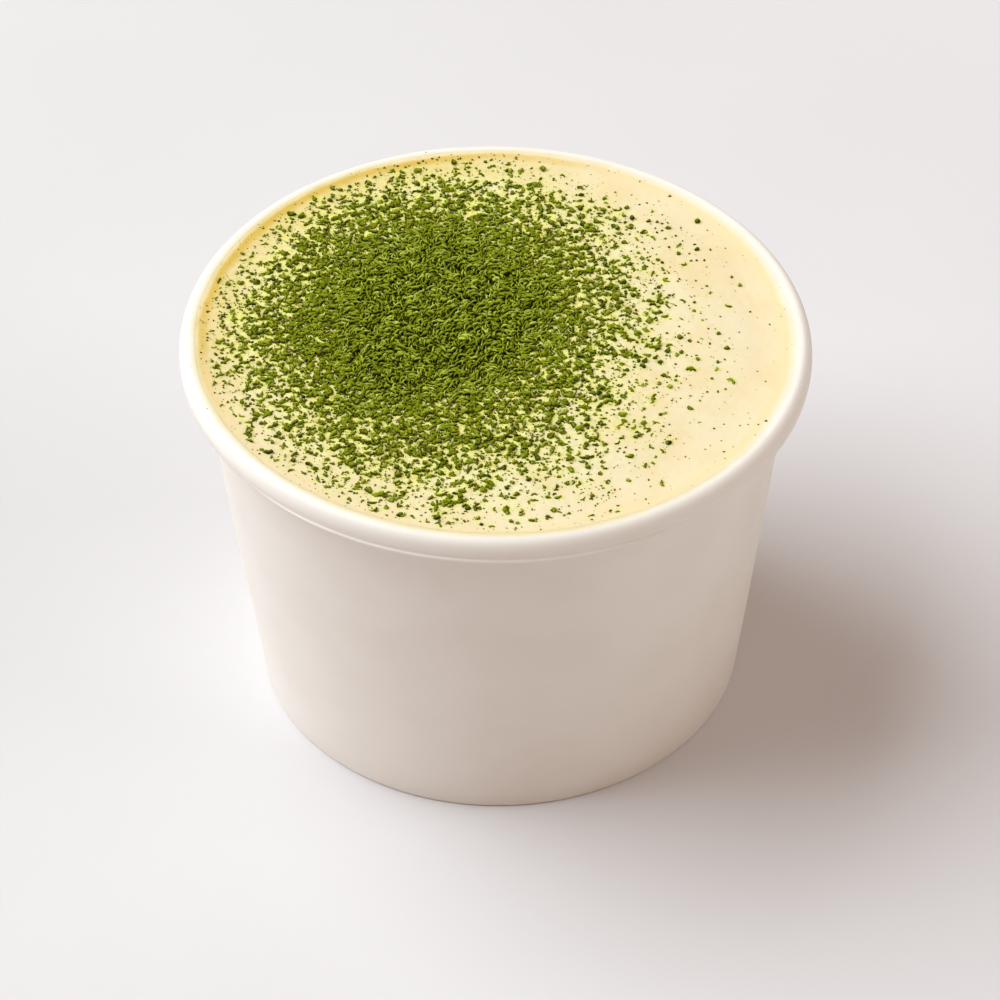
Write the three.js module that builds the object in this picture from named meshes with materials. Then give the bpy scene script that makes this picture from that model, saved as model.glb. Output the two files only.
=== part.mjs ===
// Matcha tiramisu in a paper cup, millimetres, +Z up.
// The origin is the middle of the foot, on the surface that the cup stands on.
//
// The cup is made as a real one is: a tapered side wall of coated paperboard, whose
// top edge is curled outwards into a hollow rim and whose bottom edge is folded
// inwards and up, and a base disc whose turned-down skirt is held in that fold.
// The cream fills it almost to the brim, and a heap of matcha powder lies on the cream.

import * as THREE from 'three';
import { mergeVertices } from 'three/addons/utils/BufferGeometryUtils.js';

// ---- driving dimensions -------------------------------------------------------
const cupHeight = 63.8;        // to the top of the rim, on the cup's middle line
const rimRadius = 48;          // over the curled rim
const footRadius = 38.25;      // outside of the wall, where it meets the table
const brimFall = 0.0195;       // the brim is out of level: it falls this much per mm of X
const board = 0.45;            // thickness of the paperboard
const curlHalfWidth = 1.7;     // the rolled rim's section is an upright oval
const curlHalfHeight = 2.3;
const curlEnd = -135;          // degrees, where the curled edge stops, short of the wall
const foldHeight = 5.4;        // how far the wall's bottom edge is folded back up
const footBend = 0.3;          // bevel along the bottom fold
const baseHeight = 6.1;        // top face of the base disc
const fitGap = 0.12;           // between the skirt, the wall and the fold

const creamLevel = 63.3;
const creamGap = 0.2;          // between the cream and the cup
const climbRadius = 41;        // from here out the cream climbs to the rim's shoulder
const climbMiddle = [43.4, 0.1];   // a place on that climb, and its height over the flat
const climbEnd = 125;          // degrees round the rim's oval, where the cream ends

const heapCentre = [-9.5, 3.5];
const heapReach = [22, 28];    // half width and half depth of the heap
const heapHeight = 0.75;
const heapGap = 0.1;           // between the powder and the cream

const roundSteps = 72;         // facets around the cup
const curlSteps = 14;          // facets around the outside of the curl

// ---- shape helpers ------------------------------------------------------------
const rad = THREE.MathUtils.degToRad;
const point = (radius, height) => new THREE.Vector2(radius, height);

const curlCentre = point(rimRadius - curlHalfWidth, cupHeight - curlHalfHeight);
const wallTopRadius = curlCentre.x - curlHalfWidth + board;
const wallSlope = (wallTopRadius - footRadius) / curlCentre.y;

// Outside of the tapered wall at a height; the layers inside it follow the same slope.
const wallRadius = (height) => footRadius + wallSlope * height;
const inFromWall = (depth, height) => point(wallRadius(height) - depth, height);

// Part of the curl's oval, set in from its outside by a depth.
function curl(depth, fromDegrees, toDegrees, steps) {
  const points = [];
  for (let i = 0; i <= steps; i += 1) {
    const angle = rad(fromDegrees + ((toDegrees - fromDegrees) * i) / steps);
    points.push(point(
      curlCentre.x + (curlHalfWidth - depth) * Math.cos(angle),
      curlCentre.y + (curlHalfHeight - depth) * Math.sin(angle),
    ));
  }
  return points;
}

// Tips the brim out of level: heights change in proportion, so the foot stays flat.
function tipped(geometry) {
  const place = geometry.attributes.position;
  for (let i = 0; i < place.count; i += 1) {
    const share = place.getZ(i) / curlCentre.y;
    place.setZ(i, place.getZ(i) - brimFall * place.getX(i) * share);
  }
  geometry.computeVertexNormals();
  return geometry;
}

// Turns a profile, listed with the solid on its left, about the upright axis.
function turned(profile) {
  const geometry = new THREE.LatheGeometry(profile, roundSteps);
  geometry.rotateX(Math.PI / 2);
  geometry.deleteAttribute('uv');
  geometry.deleteAttribute('normal');
  return mergeVertices(geometry, 1e-4);
}

function piece(name, geometry, color, roughness) {
  const material = new THREE.MeshStandardMaterial({ color, roughness, metalness: 0 });
  const mesh = new THREE.Mesh(tipped(geometry), material);
  mesh.name = name;
  return mesh;
}

// ---- the cup's side wall --------------------------------------------------------
// Up the outside, round the inside of the hollow curl to its free edge, back over the
// outside of the curl, down the inside of the wall, and round the folded foot.
const skirtRoom = board + 2 * fitGap;            // slot that holds the skirt
const foldInner = 2 * board + skirtRoom;         // from the wall's outside to the fold's inside

const wallProfile = [
  inFromWall(0, footBend),
  ...curl(board, 180, curlEnd, curlSteps / 2),
  ...curl(0, curlEnd, 180, curlSteps),
  inFromWall(board, foldHeight),
  inFromWall(board, board),
  inFromWall(board + skirtRoom, board),
  inFromWall(board + skirtRoom, foldHeight),
  inFromWall(foldInner, foldHeight),
  inFromWall(foldInner, footBend),
  inFromWall(foldInner - footBend, 0),
  inFromWall(footBend, 0),
  inFromWall(0, footBend),
];
const cupWall = piece('cup_wall', turned(wallProfile), 0xf4f1ee, 0.5);

// ---- the cup's base disc --------------------------------------------------------
const skirtOutside = board + fitGap;
const skirtInside = skirtOutside + board;
const skirtBottom = board + fitGap;
const baseUnderside = baseHeight - board;

const baseProfile = [
  point(0, baseUnderside),
  inFromWall(skirtInside, baseUnderside),
  inFromWall(skirtInside, skirtBottom),
  inFromWall(skirtOutside, skirtBottom),
  inFromWall(skirtOutside, baseHeight - footBend),
  inFromWall(skirtOutside + footBend, baseHeight),
  point(0, baseHeight),
];
const cupBase = piece('cup_base', turned(baseProfile), 0xf1eeea, 0.55);

// ---- the cream -------------------------------------------------------------------
// One solid from the base disc up to the brim. Its flat top climbs gently at its edge,
// up the rounded shoulder of the rim.
const creamFloor = baseHeight + creamGap;
const creamDepth = board + creamGap;

const creamProfile = [
  point(0, creamFloor),
  inFromWall(creamDepth + footBend, creamFloor),
  inFromWall(creamDepth, creamFloor + footBend),
  ...curl(-creamGap, 180, climbEnd, 5),
  point(climbMiddle[0], creamLevel + climbMiddle[1]),
  point(climbRadius, creamLevel),
  point(0, creamLevel),
];
const cream = piece('cream', turned(creamProfile), 0xfff0c8, 0.45);

// ---- the matcha heap ---------------------------------------------------------------
// A low mound of powder with an uneven outline, lying on the cream off the middle.
const heapFloor = creamLevel + heapGap;
const heapProfile = [
  point(0, heapFloor),
  point(1, heapFloor),
  ...[1, 0.92, 0.72, 0.4, 0].map((reach) => point(reach, moundTop(reach))),
];

// Height of the mound's skin, falling from its middle to a blunt edge at reach 1.
function moundTop(reach) {
  return heapFloor + heapHeight * (1 - 0.8 * reach ** 3);
}

// How far the outline strays from its ellipse in each direction.
function outlineWaver(angle) {
  return 1
    + 0.045 * Math.sin(2 * angle + 0.6)
    + 0.035 * Math.sin(3 * angle + 2.1)
    + 0.03 * Math.sin(5 * angle + 0.4)
    + 0.025 * Math.sin(9 * angle + 1.7)
    + 0.02 * Math.sin(13 * angle);
}

function heapGeometry() {
  const geometry = turned(heapProfile);
  const place = geometry.attributes.position;
  for (let i = 0; i < place.count; i += 1) {
    const across = place.getX(i);
    const along = place.getY(i);
    const waver = outlineWaver(Math.atan2(along, across));
    place.setX(i, heapCentre[0] + heapReach[0] * across * waver);
    place.setY(i, heapCentre[1] + heapReach[1] * along * waver);
  }
  return geometry;
}
const matcha = piece('matcha', heapGeometry(), 0x6f7a12, 0.95);

// ---- the whole -----------------------------------------------------------------------
const tiramisuCup = new THREE.Group();
tiramisuCup.name = 'tiramisu_cup';
tiramisuCup.add(cupWall, cupBase, cream, matcha);

export default tiramisuCup;
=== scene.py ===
"""Matcha tiramisu in a paper cup, finished around its CAD model. Metres, Z up."""

import math

import bpy
import numpy as np
from mathutils import Matrix, Vector


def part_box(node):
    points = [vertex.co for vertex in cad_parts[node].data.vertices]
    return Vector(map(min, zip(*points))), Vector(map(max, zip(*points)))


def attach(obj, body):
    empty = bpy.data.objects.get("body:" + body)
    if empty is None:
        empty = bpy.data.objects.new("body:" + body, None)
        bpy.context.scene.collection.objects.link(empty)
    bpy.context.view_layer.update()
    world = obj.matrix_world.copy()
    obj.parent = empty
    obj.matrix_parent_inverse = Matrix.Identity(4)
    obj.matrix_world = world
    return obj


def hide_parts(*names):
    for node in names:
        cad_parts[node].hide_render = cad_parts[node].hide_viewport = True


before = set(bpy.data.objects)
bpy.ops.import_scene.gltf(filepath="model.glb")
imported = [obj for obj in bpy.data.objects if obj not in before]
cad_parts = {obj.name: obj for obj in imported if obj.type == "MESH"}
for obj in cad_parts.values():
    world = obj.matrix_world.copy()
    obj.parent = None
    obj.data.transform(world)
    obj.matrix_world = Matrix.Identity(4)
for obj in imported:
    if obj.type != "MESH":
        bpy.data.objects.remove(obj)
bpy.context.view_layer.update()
mm = 0.001


# ---- The side wall of the cup ---------------------------------------------------------
# A sheet of coated paperboard wrapped into a tapered tube and glued in an upright seam
# at the back. Its top edge is curled outwards into a hollow rim, and its bottom edge is
# folded inwards and up, where the knurled fold grips the base disc.

rim_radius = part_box("cup_wall")[1].x
foot_radius = 38.25 * mm
brim_height = 63.8 * mm         # top of the rim, on the cup's middle line
board = 0.45 * mm               # thickness of the paperboard
curl_half_width = 1.7 * mm
curl_half_height = 2.3 * mm
curl_end = -135                 # degrees, where the curled edge stops
shoulder_power = 3.4            # squareness of the rim's inner shoulder; an oval has 2
lip_start = -16                 # degrees, where the rim starts to flare into its lip
lip_full = -27                  # where the lip stands full proud
lip_end = -37                   # and where it ends, in a crisp edge
lip_flare = 0.36 * mm
lip_heading = -6                # degrees round from the front, where the lip is plainest
lip_width = 48                  # how far to either side it goes
lip_fade = 18                   # over how many degrees it fades there
lip_least = 0.12                # the share of it that goes on all round
curl_radius = rim_radius - curl_half_width
curl_height = brim_height - curl_half_height
wall_slope = (curl_radius - curl_half_width + board - foot_radius) / curl_height
brim_fall = 0.0195              # how far the brim falls to the right, per length of X
sides = 288                     # faces around the wall
fold_height = 5.4 * mm
foot_bend = 0.45 * mm           # radius of the bottom fold's bends
fold_slot = 0.69 * mm           # room between the wall and the fold for the base's skirt
knurl_depth = 0.12 * mm
knurl_start = 0.8 * mm          # height where the fold's knurling starts
seam_angle = math.radians(97)   # from +X, so just left of the middle of the back
seam_lap = 7.0 * mm             # width of the glued overlap
seam_step = 0.28 * mm           # how far the outer lap stands proud
seam_rise = 0.1 * mm            # width of the step up on to it
seam_ease = 4 * mm              # width over which it sinks back on the other side
seam_blend = 3 * mm             # height over which it thins on to the rim
outer_skin = 0.3 * board        # points less deep than this are on the outside
dent_depth = 0.05 * mm          # how far a real wall strays from round


def start_ring(radius, height, count):
    """Adds a plain ring and leaves it selected in edit mode."""
    bpy.ops.object.select_all(action="DESELECT")
    bpy.ops.mesh.primitive_circle_add(vertices=count, radius=radius)
    bpy.ops.object.mode_set(mode="EDIT")
    bpy.ops.mesh.select_mode(type="EDGE")
    bpy.ops.mesh.select_all(action="SELECT")
    bpy.ops.transform.translate(value=(0, 0, height))


def draw_rings(profile):
    """Extrudes the selected ring through a list of radii and heights."""
    for (radius, height), (next_radius, next_height) in zip(profile, profile[1:]):
        lift = (0, 0, next_height - height)
        bpy.ops.mesh.extrude_region_move(TRANSFORM_OT_translate={"value": lift})
        widen = next_radius / radius
        middle = (0, 0, next_height)
        bpy.ops.transform.resize(value=(widen, widen, 1), center_override=middle)


def turn_piece(name, profile, count, merge=0.02 * mm):
    """A closed piece drawn ring by ring; the first and last rings, or poles, are merged."""
    start_ring(*profile[0], count)
    draw_rings(profile)
    bpy.ops.mesh.select_all(action="SELECT")
    bpy.ops.mesh.remove_doubles(threshold=merge)
    bpy.ops.mesh.normals_make_consistent(inside=False)
    bpy.ops.object.mode_set(mode="OBJECT")
    piece = bpy.context.object
    piece.name = name
    return piece


def shape_points(piece, move):
    """Moves the piece's points by a function of their places."""
    mesh = piece.data
    places = np.empty(len(mesh.vertices) * 3)
    mesh.vertices.foreach_get("co", places)
    places = move(places.reshape(-1, 3))
    mesh.vertices.foreach_set("co", places.ravel())
    mesh.update()


def tip_brim(places):
    """Puts the brim out of level; the foot stays flat."""
    places[:, 2] -= brim_fall * places[:, 0] * places[:, 2] / curl_height
    return places


def from_wall(depth, height):
    """A point of a profile, in from the outside of the wall by a depth."""
    return foot_radius + wall_slope * height - depth, height


def curl(depth, start, end, steps):
    """Points along the rim's oval section, set in by a depth; its inner shoulder is squarer."""
    points = []
    for turn in np.linspace(start, end, steps + 1):
        across, up = math.cos(math.radians(turn)), math.sin(math.radians(turn))
        if across < 0 < up:
            across = -abs(across) ** (2 / shoulder_power)
            up = up ** (2 / shoulder_power)
        radius = curl_radius + (curl_half_width - depth) * across
        points.append((radius, curl_height + (curl_half_height - depth) * up))
    return points


def bend(depth, height, start, end):
    """A rounded bend in the bottom fold, about a point in from the wall."""
    middle = from_wall(depth, height)
    points = []
    for i in range(4):
        angle = math.radians(start + (end - start) * i / 3)
        across = middle[0] + foot_bend * math.cos(angle)
        points.append((across, height + foot_bend * math.sin(angle)))
    return points


fold_depth = 2 * board + fold_slot
outer_heights = np.linspace(foot_bend, curl_height, 14)
inner_heights = np.linspace(curl_height, fold_height, 10)
fold_heights = np.linspace(fold_height, foot_bend, 5)
wall_profile = [
    *[from_wall(0, height) for height in outer_heights],
    *curl(board, 180, curl_end, 28)[1:],
    *curl(0, curl_end, lip_end - 1, 14),
    *curl(0, lip_end, lip_start, 10),
    *curl(0, lip_start, 180, 50)[1:],
    *[from_wall(board, height) for height in inner_heights[1:]],
    from_wall(board, board),
    from_wall(board + fold_slot, board),
    from_wall(board + fold_slot, fold_height),
    *[from_wall(fold_depth, height) for height in fold_heights],
    *bend(fold_depth - foot_bend, foot_bend, 180, 270)[1:],
    *bend(foot_bend, foot_bend, 270, 360),
]


def split_seam(piece, angle):
    """Cuts a line down the back of the wall along a plane through the upright axis."""
    bpy.ops.object.mode_set(mode="EDIT")
    bpy.ops.mesh.select_mode(type="FACE")
    bpy.ops.mesh.select_all(action="DESELECT")
    bpy.ops.object.mode_set(mode="OBJECT")
    for face in piece.data.polygons:
        face.select = face.center.y > 0
    bpy.ops.object.mode_set(mode="EDIT")
    across = (-math.sin(angle), math.cos(angle), 0)
    bpy.ops.mesh.bisect(plane_co=(0, 0, 0), plane_no=across, threshold=1e-7)
    bpy.ops.object.mode_set(mode="OBJECT")


def lip_shift(radius, angle, height):
    """How far the lip round the rim's outside stands proud; it is plainest at the front."""
    turn = np.degrees(np.arcsin(np.clip((height - curl_height) / curl_half_height, -1, 1)))
    flared = np.clip((lip_start - turn) / (lip_start - lip_full), 0, 1)
    section = curl_radius + (curl_half_width - outer_skin) * np.cos(np.radians(turn))
    lipped = (radius > section) & (turn > lip_end - 0.5)
    from_front = np.abs(np.degrees(angle) + 90 - lip_heading)
    strength = np.clip((lip_width - from_front) / lip_fade, lip_least, 1)
    return lip_flare * strength * lipped * flared * flared * (3 - 2 * flared)


def shape_wall(places):
    """Gives the turned wall its glued overlap, lip, knurled fold and slight dents."""
    radius = np.hypot(places[:, 0], places[:, 1])
    angle = np.arctan2(places[:, 1], places[:, 0])
    height = places[:, 2]
    outward = places[:, :2] / radius[:, None]

    past_seam = (angle - seam_angle) * radius
    rise = np.clip(past_seam / seam_rise, 0, 1)
    ease = np.clip((past_seam - seam_lap) / seam_ease, 0, 1)
    lap = rise * (1 - ease * ease * (3 - 2 * ease))
    on_curl = np.clip((height - (curl_height - seam_blend)) / seam_blend, 0, 1)
    outside = radius > from_wall(outer_skin, height)[0]
    shift = seam_step * lap * outside * (1 - 0.6 * on_curl) + lip_shift(radius, angle, height)

    from_fold = from_wall(fold_depth, height)[0] - radius
    knurled = (np.abs(from_fold) < 0.05 * mm) & (height < fold_height) & (height > knurl_start)
    tooth = np.cos(angle * sides / 2)
    shift = shift + np.where(knurled, knurl_depth * tooth, 0)

    share = np.clip(height / curl_height, 0, 1)
    dent = np.sin(2 * angle + 0.8) + 0.6 * np.sin(3 * angle + 4 * share + 2.0)
    shift = shift + dent_depth * dent * share * (1 - share) * 4
    places[:, :2] += outward * shift[:, None]
    return tip_brim(places)


cup_wall = turn_piece("paper_wall", wall_profile, sides)
split_seam(cup_wall, seam_angle)
split_seam(cup_wall, seam_angle + seam_rise / rim_radius)
shape_points(cup_wall, shape_wall)


def paint(red, green, blue):
    """A colour given from 0 to 255 as it looks, for a shader's socket."""
    shares = [value / 255 for value in (red, green, blue)]
    linear = [s / 12.92 if s <= 0.04045 else ((s + 0.055) / 1.055) ** 2.4 for s in shares]
    return (*linear, 1)


def new_finish(name, roughness, specular):
    """A material with its shader, and the coordinates that its patterns read."""
    finish = bpy.data.materials.new(name)
    finish.use_nodes = True
    shader = finish.node_tree.nodes["Principled BSDF"]
    shader.inputs["Roughness"].default_value = roughness
    shader.inputs["Specular IOR Level"].default_value = specular
    place = finish.node_tree.nodes.new("ShaderNodeTexCoord").outputs["Object"]
    return finish, finish.node_tree, shader, place


def add_noise(tree, place, scale, detail=3.0):
    """Random cloudiness, mostly about a half; the scale is how many clouds to a metre."""
    noise = tree.nodes.new("ShaderNodeTexNoise")
    noise.inputs["Scale"].default_value = scale
    noise.inputs["Detail"].default_value = detail
    tree.links.new(place, noise.inputs["Vector"])
    return noise.outputs["Fac"]


def add_math(tree, operation, first, second=None):
    """A sum of one kind; each term is a socket or a number."""
    node = tree.nodes.new("ShaderNodeMath")
    node.operation = operation
    for term, socket in zip((first, second), node.inputs):
        if term is None:
            continue
        if isinstance(term, (int, float)):
            socket.default_value = term
        else:
            tree.links.new(term, socket)
    return node.outputs[0]


def add_fade(tree, value, start, end, low=0.0, high=1.0):
    """Goes smoothly from low to high as a value goes from start to end."""
    node = tree.nodes.new("ShaderNodeMapRange")
    node.interpolation_type = "SMOOTHSTEP"
    node.inputs["From Min"].default_value = start
    node.inputs["From Max"].default_value = end
    node.inputs["To Min"].default_value = low
    node.inputs["To Max"].default_value = high
    tree.links.new(value, node.inputs["Value"])
    return node.outputs["Result"]


def add_mix(tree, share, first, second):
    """A blend of two colours; each is a socket or a fixed colour."""
    node = tree.nodes.new("ShaderNodeMix")
    node.data_type = "RGBA"
    tree.links.new(share, node.inputs["Factor"])
    for colour, socket in ((first, node.inputs[6]), (second, node.inputs[7])):
        if isinstance(colour, tuple):
            socket.default_value = colour
        else:
            tree.links.new(colour, socket)
    return node.outputs[2]


def add_mark(tree, name):
    """Reads the number that each point of a piece carries under a name."""
    mark = tree.nodes.new("ShaderNodeAttribute")
    mark.attribute_name = name
    return mark.outputs["Fac"]


def add_bump(tree, shader, height, depth, strength):
    """Roughens a finish by a pattern of heights."""
    bump = tree.nodes.new("ShaderNodeBump")
    bump.inputs["Distance"].default_value = depth
    bump.inputs["Strength"].default_value = strength
    tree.links.new(height, bump.inputs["Height"])
    tree.links.new(bump.outputs["Normal"], shader.inputs["Normal"])


def add_product(tree, first, second):
    """One value times another."""
    return add_math(tree, "MULTIPLY", first, second)


def split_place(tree, place):
    """The X, Y and Z of a place."""
    parts = tree.nodes.new("ShaderNodeSeparateXYZ")
    tree.links.new(place, parts.inputs[0])
    return parts.outputs


def add_length(tree, across, along):
    """The distance from the axis for two sideways ones."""
    squares = [add_product(tree, axis, axis) for axis in (across, along)]
    return add_math(tree, "SQRT", add_math(tree, "ADD", *squares))


def add_wander(tree, place, value, reach):
    """A value with a slow random drift, for an edge that isn't quite round."""
    drift = add_math(tree, "SUBTRACT", add_noise(tree, place, 150), 0.5)
    return add_math(tree, "ADD", value, add_product(tree, drift, reach))


# The cream turns a deeper gold round the brim, in a ring that isn't quite true to the cup:
# partly its own colour, partly painted shade, darkest at the back left where the rim shades it.
gold_ring_stretch = (1.007, 0.991)          # of the ring's X and Y
gold_ring_shift = (0.36 * mm, 0.52 * mm)
gold_end = (44.7 * mm, 45.5 * mm)       # where the gold gives way to the film
film_end = (44.65 * mm, 47.0 * mm)      # where the film thins out to the bare board
crest_end = (46.1 * mm, 46.95 * mm)     # where it stops in any case, by the cup's own radius


def ring_places(tree, place):
    """How far out a point is on the cup and on the gold ring at the cream's edge, and a share that
    grows from the front right of the cup to its back left."""
    x, y, _ = split_place(tree, place)
    ring = []
    for axis, stretch, shift in zip((x, y), gold_ring_stretch, gold_ring_shift):
        ring.append(add_math(tree, "ADD", add_product(tree, axis, stretch), shift))
    reach = add_wander(tree, place, add_length(tree, *ring), 1.2 * mm)
    slant = add_wander(tree, place, add_math(tree, "SUBTRACT", y, x), 24 * mm)
    back_left = add_fade(tree, slant, 6 * mm, 62 * mm, 0.12, 1.0)
    return add_length(tree, x, y), reach, back_left


# Coated board: nearly white, with a faint cloudiness and a fibre that only just shows. A
# film of cream is smeared over the inner shoulder of the rim, and is deepest at the back left.
paper_white = paint(245, 238, 229)
paper_cloud = paint(242, 234, 224)
film_pale = paint(245, 227, 184)
film_deep = paint(246, 222, 150)
gold_pale = paint(244, 225, 180)
# Painted shade: the gold darkens towards the back left, where the rim shades the cream's edge from
# the main lamp.
gold_deep_and_shade = paint(221, 189, 88)


def add_edge_gold_and_shade(tree, radius, reach, back_left):
    """The colour of the cream at the rim: gold at the foot of the rim's shoulder, painted darker
    towards the back left as shade, and a paler film up on it that thins out to the bare board."""
    gold = add_mix(tree, back_left, gold_pale, gold_deep_and_shade)
    film = add_mix(tree, back_left, film_pale, film_deep)
    gold_and_shade = add_mix(tree, add_fade(tree, reach, *gold_end), gold, film)
    covered = add_fade(tree, reach, *film_end, 1.0, 0.0)
    covered = add_product(tree, covered, add_fade(tree, radius, *crest_end, 1.0, 0.0))
    return add_mix(tree, covered, paper_white, gold_and_shade)


coated_board, tree, shader, place = new_finish("coated_board", roughness=0.5, specular=0.35)
cloud = add_fade(tree, add_noise(tree, place, 90, detail=4), 0.35, 0.75)
paper = add_mix(tree, cloud, paper_white, paper_cloud)
radius, reach, back_left = ring_places(tree, place)
gold_and_shade = add_edge_gold_and_shade(tree, radius, reach, back_left)

# The cream stays on the top of the rim, above a level that falls as the brim does.
x, _, z = split_place(tree, place)
level = add_math(tree, "ADD", z, add_product(tree, x, brim_fall))
on_top = add_fade(tree, level, 61.7 * mm, 62.3 * mm)
tree.links.new(add_mix(tree, on_top, paper, gold_and_shade), shader.inputs["Base Color"])
soft = add_product(tree, on_top, add_fade(tree, reach, 45.2 * mm, 46.4 * mm, 1.0, 0.0))
tree.links.new(add_product(tree, soft, 0.6), shader.inputs["Subsurface Weight"])
shader.inputs["Subsurface Radius"].default_value = (1.0, 0.85, 0.6)
shader.inputs["Subsurface Scale"].default_value = 1.2 * mm
fibre = add_noise(tree, place, 1400, detail=2)
add_bump(tree, shader, fibre, 0.02 * mm, 0.35)


def finish_piece(piece, material, node=None, crease=40):
    """Puts the finish on a piece, and says what it stands for."""
    bpy.ops.object.select_all(action="DESELECT")
    bpy.context.view_layer.objects.active = piece
    piece.select_set(True)
    bpy.ops.object.shade_smooth_by_angle(angle=math.radians(crease))
    piece.data.materials.clear()
    piece.data.materials.append(material)
    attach(piece, "root")
    if node:
        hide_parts(node)


finish_piece(cup_wall, coated_board, "cup_wall")


# ---- The base disc ----------------------------------------------------------------------
# A disc of the same board, drawn down at its edge into a skirt that stands in the wall's
# fold. It is crowned a little, with a pressed ring near its edge.

base_height = 6.1 * mm
skirt_gap = 0.12 * mm
skirt_out = board + skirt_gap
skirt_in = skirt_out + board
skirt_bottom = board + skirt_gap
press_radius = 30 * mm
press_share = 0.96              # where in that radius the pressed ring lies
press_depth = 0.25 * mm
crown = 0.35 * mm
base_bend = 0.5 * mm            # the disc's edge bends down into its skirt
base_bevel = 0.15 * mm
inner_bend = 0.3 * mm


def base_points(level, outward):
    """The disc's top or underside, as rings from the middle out, or back in."""
    points = [(0.01 * mm, level + crown)]
    for share in (0.1, 0.3, 0.5, 0.7, 0.85, 0.93, press_share, 0.99, 1.0):
        pressed = press_depth if share == press_share else 0
        points.append((press_radius * share, level + crown * (1 - share * share) - pressed))
    return points if outward else points[::-1]


base_profile = [
    *base_points(base_height, True),
    from_wall(skirt_out + base_bend, base_height),
    from_wall(skirt_out + base_bevel, base_height - base_bevel),
    from_wall(skirt_out, base_height - base_bend),
    from_wall(skirt_out, skirt_bottom),
    from_wall(skirt_in, skirt_bottom),
    from_wall(skirt_in, base_height - board - inner_bend),
    from_wall(skirt_in + inner_bend, base_height - board),
    *base_points(base_height - board, False),
]
cup_base = turn_piece("paper_base", base_profile, 144, merge=0.05 * mm)
shape_points(cup_base, tip_brim)
finish_piece(cup_base, coated_board, "cup_base")


# ---- The cream ---------------------------------------------------------------------------
# Mascarpone cream filled to just under the brim and smoothed over. Its edge climbs gently
# to the shoulder of the rim, where it turns a deeper gold, partly its own colour and partly
# painted shade from the rim. Where matcha was sieved on it, its skin is pitted and stained.

cream_level = 63.3 * mm
climb_start = 40 * mm            # from here out the cream climbs
cream_edge = 45.8 * mm           # buried in the rim's board
climb_height = 0.485 * mm
cream_cells = 286                # squares across its top
cream_floor = base_height - 0.1 * mm    # sunk a little into the base disc
dust_middle = (-14 * mm, 0.6 * mm)
dust_depth = 3.0                 # layers of matcha in the middle


def ripples(x, y, length, seed, waves=36):
    """Random hills and hollows about a length apart, mostly between -1 and 1."""
    rng = np.random.default_rng(seed)
    total = np.zeros_like(x)
    for heading, stretch, phase in rng.uniform(0, 1, (waves, 3)):
        turn = 2 * math.pi * heading
        number = 2 * math.pi / (length * (0.8 + 0.45 * stretch))
        total += np.cos(number * (x * math.cos(turn) + y * math.sin(turn)) + 2 * math.pi * phase)
    return total / math.sqrt(waves)


def dust_reach(turn):
    """How far from its middle the matcha still hides half of the cream, in each direction."""
    reach = 30.5 + 5.1 * np.cos(turn) + 1.4 * np.sin(turn) - 2.8 * np.cos(2 * turn)
    reach = reach + 0.8 * np.sin(2 * turn) - 1.1 * np.cos(3 * turn) + 0.4 * np.sin(3 * turn)
    reach = reach + 0.6 * np.cos(4 * turn) + 0.1 * np.sin(4 * turn)
    return reach * mm


def layers(x, y):
    """How many flakes of matcha lie over a place, on the whole. They thin out more suddenly
    at the back than at the front."""
    across, along = x - dust_middle[0], y - dust_middle[1]
    turn = np.arctan2(along, across)
    steepness = 2.9 + 0.64 * np.sin(turn)
    fall = (np.hypot(across, along) / dust_reach(turn)) ** steepness
    half = math.log(math.log(2))
    patchy = 0.2 * ripples(x, y, 5 * mm, 31)
    return np.exp(math.log(dust_depth) * (1 - fall) + half * fall + patchy)


def cream_top(x, y):
    """Height of the cream's skin."""
    climb = np.clip((np.hypot(x, y) - climb_start) / (cream_edge - climb_start), 0, 1)
    swell = 0.06 * mm * ripples(x, y, 17 * mm, 11) + 0.03 * mm * ripples(x, y, 6 * mm, 12)
    stained = 1 - np.exp(-layers(x, y))
    pits = (0.012 + 0.075 * stained) * mm * ripples(x, y, 1.7 * mm, 13)
    flat = cream_level + climb_height * climb**1.5 + (swell + pits) * (1 - climb**2)
    return flat - brim_fall * x * flat / curl_height


def round_off(places):
    """Makes a square grid from -1 to 1 round, square ring by square ring."""
    x, y = places[:, 0].copy(), places[:, 1].copy()
    wide = np.abs(x) >= np.abs(y)
    longer = np.where(wide, x, y)
    shorter = np.where(wide, y, x)
    swing = math.pi / 4 * shorter / np.where(longer == 0, 1, longer)
    near, far = longer * np.cos(swing), longer * np.sin(swing)
    places[:, 0] = np.where(wide, near, far)
    places[:, 1] = np.where(wide, far, near)
    return places


def round_grid(name, cells, move):
    """A round sheet of even square cells, shaped by a function of its places."""
    bpy.ops.object.select_all(action="DESELECT")
    bpy.ops.mesh.primitive_grid_add(x_subdivisions=cells, y_subdivisions=cells, size=2)
    piece = bpy.context.object
    piece.name = name
    shape_points(piece, lambda places: move(round_off(places)))
    return piece


def lay_cream(places):
    """Spreads the sheet over the cup, up to the rim's board."""
    places[:, :2] *= cream_edge
    places[:, 2] = cream_top(places[:, 0], places[:, 1])
    return places


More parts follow.
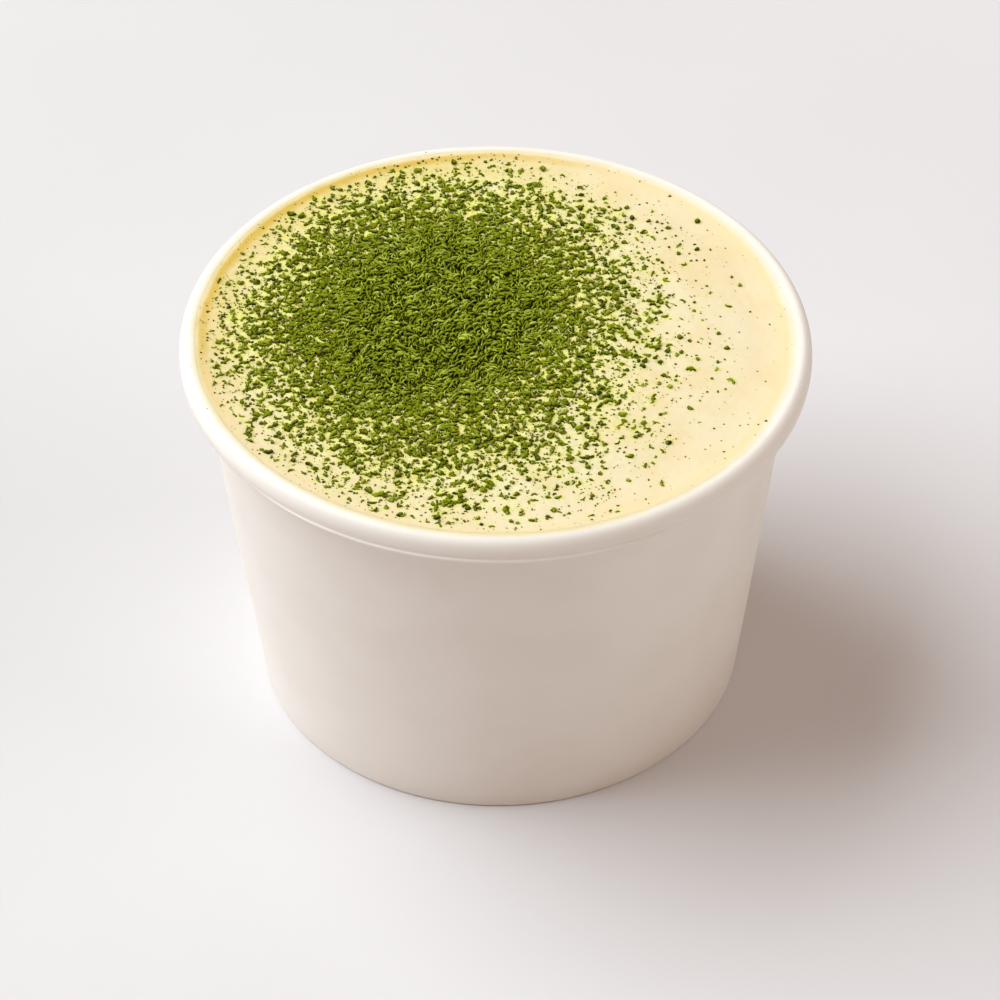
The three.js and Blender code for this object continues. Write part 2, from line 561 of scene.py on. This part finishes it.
cream = round_grid("cream_filling", cream_cells, lay_cream)
bpy.ops.object.mode_set(mode="EDIT")
bpy.ops.mesh.select_mode(type="EDGE")
bpy.ops.mesh.select_all(action="SELECT")
bpy.ops.mesh.region_to_loop()
cream_rings = [(cream_edge, cream_level)]
for height in (curl_height, 50 * mm, 35 * mm, 20 * mm, base_height + 0.4 * mm):
    cream_rings.append(from_wall(0.5 * board, height))
cream_rings.append(from_wall(board + 0.6 * mm, cream_floor))
cream_rings.append((0.6 * foot_radius, cream_floor + 0.5 * crown))
draw_rings(cream_rings)
bpy.ops.mesh.merge(type="CENTER")
bpy.ops.mesh.select_all(action="SELECT")
bpy.ops.mesh.normals_make_consistent(inside=False)
bpy.ops.object.mode_set(mode="OBJECT")

cream_pale = paint(238, 223, 187)
cream_warm = paint(235, 215, 169)
cream_stained = paint(232, 231, 112)
cream_dusted = paint(180, 162, 48)

smoothed_cream, tree, shader, place = new_finish("smoothed_cream", roughness=0.42, specular=0.4)
radius, reach, back_left = ring_places(tree, place)
patches = add_fade(tree, add_noise(tree, place, 120, detail=4), 0.35, 0.7)
skin = add_mix(tree, patches, cream_pale, cream_warm)
stained = add_mark(tree, "stain")
blotches = add_fade(tree, add_noise(tree, place, 420), 0.3, 0.65, 0.55, 1.0)
skin = add_mix(tree, add_product(tree, stained, blotches), skin, cream_stained)

# It takes a quarter of the ring's colour on the way out to the ring, and all of it on the
# ring, with the painted shade that the ring carries at the back left.
gold_share = add_fade(tree, reach, 37 * mm, 42.5 * mm, 0.0, 0.25)
gold_share = add_math(tree, "MAXIMUM", gold_share, add_fade(tree, reach, 42.7 * mm, 44.4 * mm))
skin = add_mix(tree, gold_share, skin, add_edge_gold_and_shade(tree, radius, reach, back_left))

# Powder too fine to lay out flake by flake.
finest = add_fade(tree, add_noise(tree, place, 1100), 0.54, 0.67)
finest = add_product(tree, finest, add_product(tree, stained, 0.5))
tree.links.new(add_mix(tree, finest, skin, cream_dusted), shader.inputs["Base Color"])
shader.inputs["Subsurface Weight"].default_value = 0.25
shader.inputs["Subsurface Radius"].default_value = (1.0, 0.7, 0.35)
shader.inputs["Subsurface Scale"].default_value = 1.2 * mm
add_bump(tree, shader, add_noise(tree, place, 900), 0.03 * mm, 0.4)
finish_piece(cream, smoothed_cream, "cream", crease=60)


# ---- The bed of matcha --------------------------------------------------------------------
# Where the powder was sieved thickest it lies as a felt of short curled ridges, with dark
# gaps between them; the bed's colour is painted shade, darkest in its hollows. Its edge runs
# down under the cream's skin, hidden by loose flakes.

bed_low, bed_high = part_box("matcha")
bed_middle = ((bed_low + bed_high) / 2)[:2]
bed_reach = (16.8 * mm, 22.4 * mm)
bed_height = 0.42 * mm
bed_sink = 0.3 * mm             # how far its edge runs down under the cream's skin
bed_cells = 230
ridge_length = 0.8 * mm


def bed_waver(angle):
    """How far the bed's outline strays from its oval in each direction."""
    long_waves = 0.045 * np.sin(2 * angle + 0.6) + 0.035 * np.sin(3 * angle + 2.1)
    short_waves = 0.03 * np.sin(5 * angle + 0.4) + 0.025 * np.sin(9 * angle + 1.7)
    return 1 + long_waves + short_waves + 0.02 * np.sin(13 * angle)


def bed_share(x, y):
    """0 in the middle of the bed, 1 on its outline."""
    across = (x - bed_middle[0]) / bed_reach[0]
    along = (y - bed_middle[1]) / bed_reach[1]
    return np.hypot(across, along) / bed_waver(np.arctan2(along, across))


def felt(x, y):
    """The felt's own relief, about -1 in its gaps and 1 on its ridges."""
    sway = x + 0.4 * mm * ripples(x, y, 3.1 * mm, 21)
    swing = y + 0.4 * mm * ripples(x, y, 3.4 * mm, 22)
    ridges = np.tanh(1.6 * ripples(sway, swing, ridge_length, 23, waves=60))
    return 0.8 * ridges + 0.3 * ripples(x, y, 0.5 * mm, 24)


def bed_top(x, y):
    """Height of the felt's skin."""
    share = np.clip(bed_share(x, y), 0, 1.3)
    relief = 0.2 * felt(x, y) + 0.12 * ripples(x, y, 3.5 * mm, 25)
    mound = bed_height * (1 - share**3) - bed_sink * share**3
    return cream_top(x, y) + mound + relief * mm


def lay_bed(places):
    """Spreads the sheet out to the bed's outline."""
    angle = np.arctan2(places[:, 1], places[:, 0])
    for axis in (0, 1):
        places[:, axis] *= bed_reach[axis] * bed_waver(angle)
        places[:, axis] += bed_middle[axis]
    places[:, 2] = bed_top(places[:, 0], places[:, 1])
    return places


def mark_points(piece, name, value):
    """Gives every point of a piece a number, from its place, for its material to read."""
    mesh = piece.data
    places = np.empty(len(mesh.vertices) * 3)
    mesh.vertices.foreach_get("co", places)
    places = places.reshape(-1, 3)
    mark = mesh.attributes.new(name, "FLOAT", "POINT")
    mark.data.foreach_set("value", value(places[:, 0], places[:, 1]))


bed = round_grid("matcha_bed", bed_cells, lay_bed)
bpy.ops.object.mode_set(mode="EDIT")
bpy.ops.mesh.select_mode(type="EDGE")
bpy.ops.mesh.select_all(action="SELECT")
bpy.ops.mesh.region_to_loop()
bpy.ops.mesh.extrude_region_move(TRANSFORM_OT_translate={"value": (0, 0, -bed_sink)})
bpy.ops.mesh.edge_face_add()
bpy.ops.object.mode_set(mode="OBJECT")
# Painted shade: the bed's colour follows its relief, near black in the felt's hollows and lighter
# on its ridges.
mark_points(bed, "shade", lambda x, y: 0.2 * felt(x, y) - 0.06)

# Painted shade: the near-black green of the gaps in the felt and of the flakes' feet.
matcha_gap_shade = paint(14, 19, 1)
matcha_deep = paint(70, 77, 2)
matcha_mid = paint(130, 140, 9)
# Partly a paler green, mostly the painted highlight that the flakes' crests take.
matcha_pale_and_highlight = paint(196, 205, 92)
matcha_brown = paint(128, 108, 8)


def matcha_finish(name, lowest):
    """Dry green powder, darker or lighter by its shade mark, own tone and painted light together,
    with a colour for the lowest shade: painted shade for the felt's gaps and the flakes' feet,
    and brown for the finest powder.
    """
    finish, tree, shader, place = new_finish(name, roughness=0.6, specular=0.08)
    grain = add_math(tree, "SUBTRACT", add_noise(tree, place, 1500), 0.5)
    mixed = add_math(tree, "ADD", add_mark(tree, "shade"), add_product(tree, grain, 0.5))
    low = add_mix(tree, add_fade(tree, mixed, -0.3, 0.1), lowest, matcha_deep)
    full = add_mix(tree, add_fade(tree, mixed, 0.1, 0.55), low, matcha_mid)
    full = add_mix(tree, add_fade(tree, mixed, 0.62, 1.15), full, matcha_pale_and_highlight)
    tree.links.new(full, shader.inputs["Base Color"])
    add_bump(tree, shader, add_noise(tree, place, 5000, detail=2), 0.04 * mm, 0.4)
    return finish


finish_piece(bed, matcha_finish("matcha_bed", matcha_gap_shade), "matcha", crease=80)


# ---- The loose matcha ---------------------------------------------------------------------
# The same powder fallen loose: curled shreds over the bed and slivers round it, broken crumbs
# and grains that thin out towards the wall, and specks that reach the rim.

wall_margin = 0.25 * mm         # the cream ends this far short of where it is buried
bed_fringe = 0.12               # width of the bed's soft edge, as a share of its reach
bed_fringe_end = 1.03           # where that edge ends
clump_length = 1.7 * mm
most_loose = 2.8                # layers of loose flakes, where they lie thickest


def pick_up(piece):
    """Takes a modelled shape off the bench as bare points and triangles."""
    mesh = piece.data
    points = np.array([vertex.co[:] for vertex in mesh.vertices])
    mesh.calc_loop_triangles()
    triangles = np.array([triangle.vertices[:] for triangle in mesh.loop_triangles])
    bpy.data.objects.remove(piece)
    return points, triangles


def model_curl(turn, width, steps=4):
    """A curled shred lying flat, one unit long: a three-sided rod, its crest upwards, spun
    into an arc and drawn thin at both ends."""
    arc = 1 / turn
    bpy.ops.object.select_all(action="DESELECT")
    bpy.ops.mesh.primitive_circle_add(vertices=3, radius=0.58 * width, fill_type="NGON")
    bpy.ops.object.mode_set(mode="EDIT")
    bpy.ops.mesh.select_all(action="SELECT")
    bpy.ops.transform.rotate(value=-math.pi / 2, orient_axis="X", center_override=(0, 0, 0))
    bpy.ops.transform.translate(value=(arc, 0, 0))
    bpy.ops.mesh.spin(steps=steps, angle=turn, center=(0, 0, 0), axis=(0, 0, 1))
    bpy.ops.mesh.select_all(action="SELECT")
    bpy.ops.mesh.remove_doubles(threshold=1e-5)
    bpy.ops.mesh.fill_holes(sides=3)
    bpy.ops.mesh.normals_make_consistent(inside=False)
    bpy.ops.object.mode_set(mode="OBJECT")
    piece = bpy.context.object

    def draw_thin(places):
        share = np.abs(np.arctan2(places[:, 1], places[:, 0])) / turn
        thin = 1 - 0.6 * np.abs(2 * share - 1) ** 3
        far = arc + (np.hypot(places[:, 0], places[:, 1]) - arc) * thin
        swing = (share - 0.5) * turn
        return np.stack([far * np.sin(swing), far * np.cos(swing) - arc, places[:, 2] * thin], 1)

    shape_points(piece, draw_thin)
    return pick_up(piece)


def model_crumb(corners, seed):
    """A broken crumb: an uneven many-sided plate with a humped, off-centre top."""
    rng = np.random.default_rng(seed)
    bpy.ops.object.select_all(action="DESELECT")
    bpy.ops.mesh.primitive_circle_add(vertices=corners, radius=0.5, fill_type="NGON")
    bpy.ops.object.mode_set(mode="EDIT")
    bpy.ops.mesh.select_all(action="SELECT")
    bpy.ops.mesh.extrude_region_move(TRANSFORM_OT_translate={"value": (0, 0, 0.4)})
    bpy.ops.transform.resize(value=(0.72, 0.72, 1), center_override=(0, 0, 0))
    bpy.ops.mesh.poke(offset=0.12)
    bpy.ops.mesh.select_all(action="SELECT")
    bpy.ops.mesh.normals_make_consistent(inside=False)
    bpy.ops.object.mode_set(mode="OBJECT")
    piece = bpy.context.object

    def tear(places):
        angle = np.arctan2(places[:, 1], places[:, 0])
        side = np.round(angle / (2 * math.pi) * corners).astype(int) % corners
        reach = rng.uniform(0.6, 1.3, corners)[side]
        places[:, :2] *= reach[:, None]
        places += rng.uniform(-0.08, 0.08, places.shape)
        return places

    shape_points(piece, tear)
    return pick_up(piece)


def model_tuft(first, second):
    """A ragged crumb of two shreds caught together, each drawn with its own turn."""
    points, triangles = [], []
    for i, (turn, heading, shift) in enumerate((first, second)):
        shred, corners = model_curl(turn, 0.4, steps=3)
        shred[:, :2] = shred[:, :2] @ np.array(Matrix.Rotation(heading, 2)) + shift
        shred[:, 2] += 0.1 * i
        triangles.append(corners + len(shred) * i)
        points.append(shred * (1.0, 1.0, 0.9))
    return np.concatenate(points), np.concatenate(triangles)


def model_grain(seed):
    """A small lump of powder, broken to uneven facets."""
    rng = np.random.default_rng(seed)
    bpy.ops.object.select_all(action="DESELECT")
    bpy.ops.mesh.primitive_ico_sphere_add(subdivisions=1, radius=0.5)
    piece = bpy.context.object
    shape_points(piece, lambda places: places * rng.uniform(0.65, 1.3, (len(places), 1)))
    return pick_up(piece)


def model_speck(seed):
    """The finest powder, no more than a four-sided point."""
    rng = np.random.default_rng(seed)
    bpy.ops.object.select_all(action="DESELECT")
    bpy.ops.mesh.primitive_cone_add(vertices=4, radius1=0.5, depth=0.7)
    piece = bpy.context.object
    shape_points(piece, lambda places: places * rng.uniform(0.7, 1.3, places.shape))
    return pick_up(piece)


def flake_sizes(rng, count, *ranges):
    """Length, width and thickness of each flake, none quite in proportion; most flakes are
    near the small end."""
    bulk = rng.uniform(0, 1, count) ** 1.7
    sizes = np.stack([low + (high - low) * bulk for low, high in ranges], 1)
    return sizes * rng.uniform(0.8, 1.25, sizes.shape)


def turn_matrices(yaw, tilt, lean):
    """One turn each: about Y by the lean, about X by the tilt, then about Z by the yaw."""
    turns = np.empty((len(yaw), 3, 3))
    for i, (heading, rise, roll) in enumerate(zip(yaw, tilt, lean)):
        headed = Matrix.Rotation(heading, 3, "Z") @ Matrix.Rotation(rise, 3, "X")
        turns[i] = headed @ Matrix.Rotation(roll, 3, "Y")
    return turns


def flake_area(shapes, ranges):
    """How much one flake of a kind covers, seen from above, on the whole."""
    shares = []
    for points, triangles in shapes:
        first, second, third = (points[triangles[:, i], :2] for i in range(3))
        along, over = second - first, third - first
        shares.append(np.abs(along[:, 0] * over[:, 1] - along[:, 1] * over[:, 0]).sum() / 4)
    sample = flake_sizes(np.random.default_rng(40), 4000, *ranges)
    return np.mean(shares) * np.mean(sample[:, 0] * sample[:, 1])


def sieve(rng, cover, area, limit, most):
    """Random places inside a circle, where flakes of an area lie so many layers deep."""
    tries = int(most / area * 4 * limit**2)
    x, y = rng.uniform(-limit, limit, (2, tries))
    kept = (rng.uniform(0, most, tries) < cover(x, y)) & (np.hypot(x, y) < limit)
    return x[kept], y[kept]


def pack_close(rng, gap, limit):
    """Places inside a circle about a gap apart, none of them in line."""
    steps = np.arange(-limit, limit, gap)
    x, y = np.meshgrid(steps, steps)
    x, y = (axis.ravel() + rng.uniform(-0.42, 0.42, axis.size) * gap for axis in (x, y))
    kept = np.hypot(x, y) < limit
    return x[kept], y[kept]


def surface(x, y):
    """Height of whatever lies at a place: the bed, the cream or the shoulder of the rim."""
    skin = cream_top(x, y)
    skin = np.where(bed_share(x, y) < 1, np.maximum(bed_top(x, y), skin), skin)
    off_crest = np.clip((np.hypot(x, y) - curl_radius) / curl_half_width, -1, 1)
    power = np.where(off_crest < 0, shoulder_power, 2)
    rise = (1 - np.abs(off_crest) ** power) ** (1 / power)
    shoulder = curl_height + curl_half_height * rise
    shoulder = shoulder - brim_fall * x * shoulder / curl_height
    return np.where(np.hypot(x, y) > cream_edge - wall_margin, shoulder, skin)


def join_flakes(name, shapes, kinds, places, sizes, turns, shades, crest):
    """Joins a copy of a shape at every place into one mesh; each keeps its own shade of green,
    with a painted highlight on its crest and painted shade at its foot."""
    all_points, all_triangles, all_shades = [], [], []
    start = 0
    for kind, (points, triangles) in enumerate(shapes):
        mine = np.flatnonzero(kinds == kind)
        scaled = points[None] * sizes[mine][:, None]
        placed = np.einsum("nij,npj->npi", turns[mine], scaled) + places[mine][:, None]
        offsets = start + np.arange(len(mine)) * len(points)
        all_points.append(placed.reshape(-1, 3))
        all_triangles.append((triangles[None] + offsets[:, None, None]).reshape(-1, 3))
        # Painted light: the shade mark rises with each point's height in the shape, by the crest's
        # share, lighter on top as if lit and darker at the foot as if shaded.
        height = (points[:, 2] - points[:, 2].mean()) / np.ptp(points[:, 2])
        all_shades.append((shades[mine][:, None] + crest * height).ravel())
        start += len(mine) * len(points)
    mesh = bpy.data.meshes.new(name)
    mesh.from_pydata(np.concatenate(all_points), [], np.concatenate(all_triangles))
    mark = mesh.attributes.new("shade", "FLOAT", "POINT")
    mark.data.foreach_set("value", np.concatenate(all_shades))
    piece = bpy.data.objects.new(name, mesh)
    bpy.context.scene.collection.objects.link(piece)
    return piece


loose_matcha = matcha_finish("matcha_loose", matcha_gap_shade)
fine_matcha = matcha_finish("matcha_fine", matcha_brown)
fallen = []                     # place and size of every flake laid so far


def scatter(
    name, rng, shapes, x, y, ranges, yaw, tilt, lift, pile, shade,
    crest=0.0, crease=50, finish=loose_matcha,
):
    """Lays one kind of flake at its places: its ranges of length, width and thickness, its
    heading and tilt, how high it lies and piles up, and its shades, with the painted highlight
    on its crest and painted shade at its foot."""
    count = len(x)
    z = surface(x, y) + lift + pile * np.clip(layers(x, y), 0, 3) * rng.uniform(0, 1, count)
    turns = turn_matrices(yaw, rng.normal(0, tilt, count), rng.normal(0, tilt, count))
    sizes = flake_sizes(rng, count, *ranges)
    shades = rng.uniform(*shade, count) + 0.12 * ripples(x, y, 3.2 * mm, 34)
    kinds = rng.integers(0, len(shapes), count)
    piece = join_flakes(name, shapes, kinds, np.stack([x, y, z], 1), sizes, turns, shades, crest)
    finish_piece(piece, finish, crease=crease)
    fallen.append(np.stack([x, y, sizes[:, 0] * sizes[:, 1]], 1))


def on_bed(x, y):
    """1 on the bed, 0 off it, with a soft edge."""
    return np.clip((bed_fringe_end - bed_share(x, y)) / bed_fringe, 0, 1)


def loose(x, y):
    """Layers of flakes lying off the bed, gathered into small clumps."""
    clumped = np.exp(0.95 * ripples(x, y, clump_length, 32) - 0.35)
    return (1 - on_bed(x, y)) * np.clip(layers(x, y), 0, most_loose) * clumped


def thick(x, y):
    """0 where the powder is thin, 1 where it nearly covers the cream."""
    return np.clip((layers(x, y) - 0.5) / 1.2, 0, 1)


# Curls lie close on the bed, side by side along a grain that wanders; some lie across them.
curl_bends = ((0.9, 0.34), (1.4, 0.33), (1.9, 0.32), (2.6, 0.3))
curl_shapes = [model_curl(turn, width) for turn, width in curl_bends]
curl_ranges = ((0.95 * mm, 1.65 * mm), (1.15 * mm, 1.5 * mm), (1.4 * mm, 1.8 * mm))
curl_gap = 0.61 * mm
curl_limit = 43 * mm
curls_over = 0.3                # layers of those that lie across
rng = np.random.default_rng(41)
close_x, close_y = pack_close(rng, curl_gap, curl_limit)
kept = rng.uniform(0, 1, len(close_x)) < on_bed(close_x, close_y)
over_x, over_y = sieve(
    rng, lambda x, y: curls_over * on_bed(x, y), flake_area(curl_shapes, curl_ranges),
    curl_limit, curls_over,
)
x, y = np.append(close_x[kept], over_x), np.append(close_y[kept], over_y)
grain = 0.7 + 1.1 * ripples(x, y, 4 * mm, 33) + rng.normal(0, 0.45, len(x))
scatter(
    "matcha_curls", rng, curl_shapes, x, y, curl_ranges, grain,
    tilt=0.16, lift=0.08 * mm, pile=0.08 * mm, shade=(-0.05, 0.5), crest=0.95, crease=180,
)


def strew(name, seed, shapes, cover, most, ranges, limit, **laid):
    """Scatters a kind of flake at random, so many layers deep, headed anyhow."""
    rng = np.random.default_rng(seed)
    x, y = sieve(rng, cover, flake_area(shapes, ranges), limit, most)
    yaw = rng.uniform(0, 2 * math.pi, len(x))
    scatter(name, rng, shapes, x, y, ranges, yaw, **laid)


# Slivers are curls fallen off the bed, mostly where the powder is thick.
strew(
    "matcha_slivers", 45, curl_shapes,
    lambda x, y: (0.16 + 0.6 * thick(x, y)) * loose(x, y), 3.2,
    ranges=((0.8 * mm, 1.6 * mm), (1.1 * mm, 1.6 * mm), (1.2 * mm, 1.8 * mm)),
    limit=44.6 * mm, tilt=0.2, lift=0.05 * mm, pile=0.1 * mm,
    shade=(0.0, 0.5), crest=0.8, crease=180,
)

# Crumbs are flat and broken or ragged, and take over where it is thin.
crumb_shapes = [model_crumb(corners, seed) for corners, seed in ((6, 1), (7, 2), (8, 3))]
crumb_shapes += [
    model_tuft((1.2, 0.3, (0.1, 0.1)), (1.8, 1.5, (-0.1, -0.05))),
    model_tuft((2.2, -0.5, (0, 0.15)), (0.9, 2.0, (0.05, -0.1))),
    model_tuft((1.6, 0.9, (-0.1, 0)), (1.4, 2.6, (0.15, 0.05))),
]
strew(
    "matcha_crumbs", 42, crumb_shapes,
    lambda x, y: 0.06 * on_bed(x, y) + (0.74 - 0.5 * thick(x, y)) * loose(x, y), 3,
    ranges=((0.5 * mm, 1.45 * mm), (0.42 * mm, 1.1 * mm), (0.5 * mm, 1.1 * mm)),
    limit=43.9 * mm, tilt=0.35, lift=-0.06 * mm, pile=0.08 * mm,
    shade=(0.0, 0.42), crest=0.75,
)

# Grains lie between them, and a few all over the cream.
grain_shapes = [model_grain(seed) for seed in (6, 7, 8)]
strew(
    "matcha_grains", 43, grain_shapes,
    lambda x, y: 0.04 * on_bed(x, y) + (0.2 - 0.08 * thick(x, y)) * loose(x, y) + 0.002, 1.2,
    ranges=((0.25 * mm, 0.6 * mm), (0.22 * mm, 0.46 * mm), (0.18 * mm, 0.36 * mm)),
    limit=44.9 * mm, tilt=0.6, lift=0.03 * mm, pile=0.1 * mm,
    shade=(-0.2, 0.45), crest=0.3, finish=fine_matcha,
)


def speck_cover(x, y):
    """Specks lie off the bed, and a few on the rim."""
    on_rim = np.hypot(x, y) > 45.4 * mm
    cover = 0.035 * np.clip(layers(x, y), 0, 1) ** 0.75 + 0.0015
    return (1 - on_bed(x, y)) * cover * np.where(on_rim, 0.12, 1)


speck_shapes = [model_speck(seed) for seed in (9, 10)]
strew(
    "matcha_specks", 44, speck_shapes, speck_cover, 0.08,
    ranges=((0.12 * mm, 0.34 * mm), (0.12 * mm, 0.28 * mm), (0.1 * mm, 0.22 * mm)),
    limit=46.6 * mm, tilt=0.5, lift=0.02 * mm, pile=0.0,
    shade=(-0.3, 0.4), finish=fine_matcha,
)

# Last, the cream takes a stain from the flakes that lie on it.
stain_cell = 0.3 * mm
stain_spread = 1.4              # cells over which a flake stains


def dusted(x, y):
    """How much powder has fallen close to a place, as layers, from the flakes themselves."""
    flakes = np.concatenate(fallen)
    cells = int(2 * rim_radius / stain_cell)
    span = [[-rim_radius, rim_radius]] * 2
    depth = flakes[:, 2] / stain_cell**2
    heaped = np.histogram2d(flakes[:, 0], flakes[:, 1], cells, span, weights=depth)[0]
    reach = np.exp(-0.5 * (np.arange(-4, 5) / stain_spread) ** 2)
    for axis in (0, 1):
        heaped = np.apply_along_axis(np.convolve, axis, heaped, reach / reach.sum(), "same")
    column, row = (
        np.clip(((axis + rim_radius) / stain_cell).astype(int), 0, cells - 1) for axis in (x, y)
    )
    return heaped[column, row]


def tint(x, y):
    """The finest powder has settled round every flake, and drifted towards the back left."""
    back_left = np.clip((y - 0.5 * x) / rim_radius, 0, 1)
    drift = 1.6 * back_left**1.5 * np.clip(layers(x, y), 0, 1)
    return 1 - np.exp(-0.45 * layers(x, y) - 0.8 * dusted(x, y) - drift)


mark_points(cream, "stain", tint)


# ---- The table, the light and the camera --------------------------------------------------
# A pale matt table and three broad soft lamps in a warm even glow: the main one on the left
# and a little behind, a faint one above and one on the right that lifts the shadows. The
# camera looks down on the cup from the front.

bpy.ops.object.select_all(action="DESELECT")
bpy.ops.mesh.primitive_plane_add(size=6)
table = bpy.context.object
table.name = "table"
table_top, tree, shader, place = new_finish("table_top", roughness=0.7, specular=0.2)
table_pale = paint(221, 217, 217)
table_dull = paint(218, 214, 214)
cloud = add_fade(tree, add_noise(tree, place, 8), 0.3, 0.7)
tree.links.new(add_mix(tree, cloud, table_pale, table_dull), shader.inputs["Base Color"])
table.data.materials.append(table_top)

scene = bpy.context.scene
scene.view_settings.view_transform = "Standard"

world = bpy.data.worlds.new("studio")
world.use_nodes = True
glow = world.node_tree.nodes["Background"]
glow.inputs["Color"].default_value = (1.0, 0.46, 0.2, 1)
glow.inputs["Strength"].default_value = 0.2
scene.world = world

lamp_distance = 3.0


def add_lamp(name, around, above, size, power, colour):
    """A square lamp, so many degrees round from the front and above the table, that
    looks at the cup."""
    light = bpy.data.lights.new(name, "AREA")
    light.size = size
    light.energy = power
    light.color = colour
    lamp = bpy.data.objects.new(name, light)
    scene.collection.objects.link(lamp)
    turn, lift = math.radians(around), math.radians(above)
    level = math.cos(lift)
    back = Vector((math.sin(turn) * level, -math.cos(turn) * level, math.sin(lift)))
    lamp.location = back * lamp_distance
    lamp.rotation_mode = "QUATERNION"
    lamp.rotation_quaternion = back.to_track_quat("Z", "Y")


add_lamp("key_lamp", around=-104, above=50, size=3.0, power=145, colour=(0.84, 0.945, 1.0))
add_lamp("top_lamp", around=40, above=72, size=2.0, power=9, colour=(0.88, 0.96, 1.0))
add_lamp("fill_lamp", around=80, above=34, size=1.8, power=24, colour=(0.93, 0.98, 0.96))

sight_height = math.radians(41.69)      # how steeply the camera looks down
sight_roll = math.radians(-0.87)
sight_distance = 628.88 * mm
sight_aim = Vector((0.255 * mm, 0, 29.545 * mm))

lens = bpy.data.cameras.new("camera")
lens.sensor_width = 36
lens.lens = 144
lens.clip_start = 10 * mm
lens.clip_end = 20
camera = bpy.data.objects.new("camera", lens)
scene.collection.objects.link(camera)
towards = Vector((0, -math.cos(sight_height), math.sin(sight_height)))
aim_turn = Matrix.Rotation(math.pi / 2 - sight_height, 4, "X") @ Matrix.Rotation(sight_roll, 4, "Z")
camera.matrix_world = Matrix.Translation(sight_aim + towards * sight_distance) @ aim_turn
scene.camera = camera
